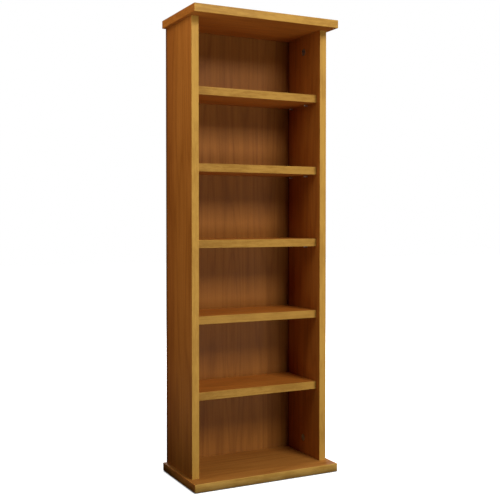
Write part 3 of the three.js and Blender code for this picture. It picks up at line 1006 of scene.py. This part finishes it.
def bolt_profile(head_start):
    """From the thread's end in the plate, at negative heights, to the head inside the cam."""
    head_end = CAM_REACH - BOLT_HEAD_NEAR
    neck = CAM_REACH - CAM_RADIUS - BOLT_NECK_RUN
    run = BOLT_THREAD - BOLT_CHAMFER
    thread = [
        (BOLT_THREAD_RADIUS, -BOLT_THREAD + BOLT_CHAMFER + run * row / BOLT_THREAD_ROWS)
        for row in range(BOLT_THREAD_ROWS + 1)
    ]
    return [(0, -BOLT_THREAD), (BOLT_THREAD_RADIUS - BOLT_THREAD_DEPTH, -BOLT_THREAD)] + thread + [
        (BOLT_COLLAR_RADIUS, BOLT_COLLAR_LIFT),
        (BOLT_COLLAR_RADIUS, BOLT_COLLAR),
        (BOLT_SHANK_RADIUS, BOLT_COLLAR),
        (BOLT_SHANK_RADIUS, neck - BOLT_NECK_RUN),
        (BOLT_NECK_RADIUS, neck),
        (BOLT_NECK_RADIUS, head_start),
        (BOLT_HEAD_RADIUS, head_start),
        (BOLT_HEAD_RADIUS, head_end - BOLT_CHAMFER),
        (BOLT_HEAD_RADIUS - BOLT_CHAMFER, head_end),
        (0, head_end),
    ]


def cam_bolts():
    """Bolts with a coarse rolled thread in the plate, a collar on its face and a head inside the cam."""
    head_start = CAM_REACH - BOLT_HEAD_FAR
    for end, up in ENDS:
        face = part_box("top_panel")[0].z if up > 0 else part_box("base_panel")[1].z
        for hand, _ in HANDS:
            node = f"cam_bolt_{end}_{hand}"
            bm = turned_mesh(bolt_profile(head_start), SMALL_ROUND_STEPS, screw)
            mark_wear(bm, lambda place: place.z > head_start)
            placing = basis((1, 0, 0), (0, 0, -up), middle_at(node, "z", face))
            fitting(node, bm, placing, BOLT_STEEL, "bolt_steel")


CAM_HEIGHT = 12.3 * MM
CAM_ROUND = 0.3 * MM
CAM_CORE = 1.8 * MM
CAM_LOCK_RADIUS = 5.8 * MM
CAM_OPEN_RADIUS = 6.3 * MM
CAM_TURN = 180  # degrees, as are the next three
CAM_END_PAD = 55
CAM_SLOT_PAD = 22
CAM_STEP = 5
BOLT_DEPTH = 7.3 * MM  # of the bolt's axis under the cam's face
CROSS_LENGTH = 5.4 * MM
CROSS_WIDTH = 1.2 * MM
CROSS_DEPTH = 2.0 * MM
CROSS_FLOOR_SHARE = 0.6
ARROW_LENGTH = 2.0 * MM
ARROW_WIDTH = 1.8 * MM
ARROW_DEPTH = 0.4 * MM
ARROW_INSET = 0.7 * MM


def hollow_radius(degrees):
    """The spiral hollow's outer radius, which grows from locked to open."""
    share = min(max(-degrees / CAM_TURN, 0.0), 1.0)
    return CAM_LOCK_RADIUS + (CAM_OPEN_RADIUS - CAM_LOCK_RADIUS) * share


def curved_slot(inner, outer, pad, half_height):
    """A slot round the cam's turn and a pad past each end, from a radius to outer(degrees)."""
    start = -CAM_TURN - pad
    steps = math.ceil((pad - start) / CAM_STEP)
    out, back = [], []
    for step in range(steps + 1):
        degrees = start + (pad - start) * step / steps
        angle = math.radians(degrees)
        way = Vector((math.cos(angle), math.sin(angle)))
        out.append(way * outer(degrees))
        back.insert(0, way * inner)
    return slab_cutter(out + back, -BOLT_DEPTH - half_height, -BOLT_DEPTH + half_height, ZINC)


def cross_blades():
    """The two blades of the crossed recess, which narrow towards its floor."""
    blades = []
    for x, y in ((CROSS_LENGTH / 2, CROSS_WIDTH / 2), (CROSS_WIDTH / 2, CROSS_LENGTH / 2)):
        blade = slab_cutter([(-x, -y), (x, -y), (x, y), (-x, y)], -CROSS_DEPTH, OVERRUN, ZINC)
        for vert in blade.data.vertices:
            if vert.co.z < 0:
                vert.co.x *= CROSS_FLOOR_SHARE
                vert.co.y *= CROSS_FLOOR_SHARE
        blades.append(blade)
    return blades


def cam_mesh():
    """The cam lock's mesh: its face on zero height, its bolt coming in from +X."""
    rim = CAM_RADIUS
    profile = [
        (0, -CAM_HEIGHT),
        (rim - CAM_ROUND, -CAM_HEIGHT),
        (rim, -CAM_HEIGHT + CAM_ROUND),
        (rim, -CAM_ROUND),
        (rim - CAM_ROUND, 0),
        (0, 0),
    ]
    cam = new_object("cam_blank", turned_mesh(profile, ROUND_STEPS), [ZINC])
    outside = rim + OVERRUN
    head_half = BOLT_HEAD_RADIUS + PEG_GAP
    neck_half = BOLT_NECK_RADIUS + PEG_GAP
    inside = CAM_CORE + OVERRUN
    way_in = [(-outside, -head_half), (-inside, -head_half), (-inside, head_half), (-outside, head_half)]
    tip = ARROW_INSET - rim
    tail = tip + ARROW_LENGTH
    arrow = [(tip, 0), (tail, -ARROW_WIDTH / 2), (tail, ARROW_WIDTH / 2)]
    drill(cam, [
        curved_slot(CAM_CORE, hollow_radius, CAM_END_PAD, head_half),
        curved_slot(CAM_LOCK_RADIUS - OVERRUN, lambda degrees: outside, CAM_SLOT_PAD, neck_half),
        slab_cutter(way_in, -BOLT_DEPTH - head_half, -BOLT_DEPTH + head_half, ZINC),
        slab_cutter(arrow, -ARROW_DEPTH, OVERRUN, ZINC),
        *cross_blades(),
    ])
    bm = bmesh.new()
    bm.from_mesh(cam.data)
    bpy.data.meshes.remove(cam.data)
    mark_wear(bm, lambda place: place.z > -CAM_ROUND and place.xy.length > rim - 2 * CAM_ROUND)
    return bm


def cam_locks():
    master = cam_mesh()
    for end, up in ENDS:
        for hand, sign in HANDS:
            node = f"cam_lock_{end}_{hand}"
            low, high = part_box(node)
            place = middle_at(node, "x", low.x if sign > 0 else high.x)
            fitting(node, master.copy(), basis((0, 0, up), (-sign, 0, 0), place), ZINC, "cam_zinc", node)
    master.free()


GLIDE_STAND = 1.0 * MM
GLIDE_ROUND = 0.5 * MM
GLIDE_SPIKE_RADIUS = 1.1 * MM
GLIDE_SPIKE_TIP = 2.0 * MM


def glides():
    """Thin discs under the base, each with a spike driven into it."""
    for row in ROWS:
        for hand, _ in HANDS:
            node = f"glide_{row}_{hand}"
            low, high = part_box(node)
            radius = (high.x - low.x) / 2
            top = high.z - low.z
            profile = rounded_foot(radius, GLIDE_ROUND) + [
                (radius, GLIDE_STAND),
                (GLIDE_SPIKE_RADIUS, GLIDE_STAND),
                (GLIDE_SPIKE_RADIUS, top - GLIDE_SPIKE_TIP),
                (0, top),
            ]
            placing = Matrix.Translation(middle_at(node, "z", low.z))
            fitting(node, turned_mesh(profile, ROUND_STEPS), placing, GLIDE, "glide_plastic")


# Studio

FLOOR_HALF = 8.0
FLOOR_TINT = 0.85
FLOOR_MOTTLE = (0.5, 0.5, 2.0, NOISE_ROUGHNESS)
FLOOR_MOTTLE_SHARE = 0.99
FLOOR_ROUGHNESS = (0.85, 0.95)
FLOOR_SPECULAR = 0.1
FLOOR_GLOW_RUN = (0.4, 1.6)
FLOOR_GLOWS = (0.86, 1.05)
CONTACT_REACH = 4.5 * MM
CONTACT_RANGE = (0.45, 0.85)

# Area lights, as (name, place, what it points at, size, power)
LIGHTS = (
    ("front_high", (0.55, -1.8, 1.7), (0, 0, 0.6), (0.9, 0.6), 35.0),
    ("front_low", (0.6, -1.9, 0.15), (0, 0, 0.5), (0.9, 0.4), 12.5),
    ("left_far", (-1.2, 0.10, 0.90), (-0.15, 0, 0.55), (0.6, 0.6), 1.7),
    ("left_near", (-0.7, -0.35, 1.05), (-0.15, 0, 0.75), (0.35, 0.5), 1.8),
    ("left_steep", (-0.45, 0.05, 1.25), (-0.15, 0, 0.85), (0.3, 0.25), 0.75),
    ("floor_front", (0.1, -0.85, 0.002), (0.1, -0.85, 1.0), (1.4, 1.1), 3.2),
    ("floor_left", (-0.9, 0, 0.002), (-0.9, 0, 1.0), (0.9, 1.1), 3.75),
    ("overhead", (0.0, -0.5, 2.2), (0, 0, 0.3), (1.4, 1.0), 3.0),
    ("right_far", (1.5, 0.1, 1.1), (0.15, 0, 0.5), (0.8, 1.0), 12.0),
    ("rear", (0.6, 1.9, 1.3), (0, 0, 0.5), (1.2, 1.2), 22.0),
)


def floor():
    """A white floor that glows away to the background, with a thin soft shadow under what stands on it."""
    bm = bmesh.new()
    bmesh.ops.create_grid(bm, x_segments=1, y_segments=1, size=FLOOR_HALF)
    graph = Graph("floor")
    mottle = layer(graph, "z", 0, 0, FLOOR_MOTTLE)
    colour = graph.blend(mottle, (FLOOR_TINT,) * 3, (FLOOR_TINT * FLOOR_MOTTLE_SHARE,) * 3)
    away = graph.node("ShaderNodeVectorMath", operation="LENGTH")
    graph.join(graph.points(), away.inputs[0])
    glow = graph.spread(away.outputs["Value"], *FLOOR_GLOW_RUN, *FLOOR_GLOWS)
    contact = graph.node("ShaderNodeAmbientOcclusion")
    contact.inputs["Distance"].default_value = CONTACT_REACH
    graph.shader.inputs["Emission Color"].default_value = WHITE
    lit = graph.spread(contact.outputs["AO"], *CONTACT_RANGE)
    graph.join(graph.math("MULTIPLY", glow, lit), graph.shader.inputs["Emission Strength"])
    graph.finish(colour, graph.spread(mottle, *WIDE, *FLOOR_ROUGHNESS), FLOOR_SPECULAR)
    made = new_object("studio_floor", bm, [graph.material])
    made.visible_diffuse = False
    made.visible_glossy = False


def area_light(name, place, target, size, power):
    data = bpy.data.lights.new(name, "AREA")
    data.shape = "RECTANGLE"
    data.size, data.size_y = size
    data.energy = power
    made = bpy.data.objects.new(name, data)
    made.location = place
    made.rotation_euler = (Vector(target) - Vector(place)).to_track_quat("-Z", "Y").to_euler()
    made.visible_camera = False
    bpy.context.scene.collection.objects.link(made)


def studio():
    """A white background that lights nothing, and the area lights."""
    world = bpy.data.worlds.new("studio")
    bpy.context.scene.world = world
    world.use_nodes = True
    background = world.node_tree.nodes["Background"]
    background.inputs["Color"].default_value = WHITE
    background.inputs["Strength"].default_value = 1.0
    world.cycles_visibility.diffuse = False
    world.cycles_visibility.glossy = False
    for light in LIGHTS:
        area_light(*light)


def camera():
    data = bpy.data.cameras.new("camera")
    data.lens = CAMERA_LENS
    data.sensor_width = CAMERA_SENSOR
    data.shift_y = CAMERA_SHIFT_Y
    data.clip_start, data.clip_end = CAMERA_CLIP
    made = bpy.data.objects.new("camera", data)
    made.location = CAMERA_PLACE
    made.rotation_euler = (math.radians(RIGHT_ANGLE - CAMERA_PITCH), 0, math.radians(-CAMERA_YAW))
    bpy.context.scene.collection.objects.link(made)
    bpy.context.scene.camera = made


camera()
studio()
floor()
side_panels()
shelf_boards()
plates()
back_board()
nails()
shelf_pins()
dowels()
cam_bolts()
cam_locks()
glides()
bpy.context.scene.view_settings.view_transform = "Standard"
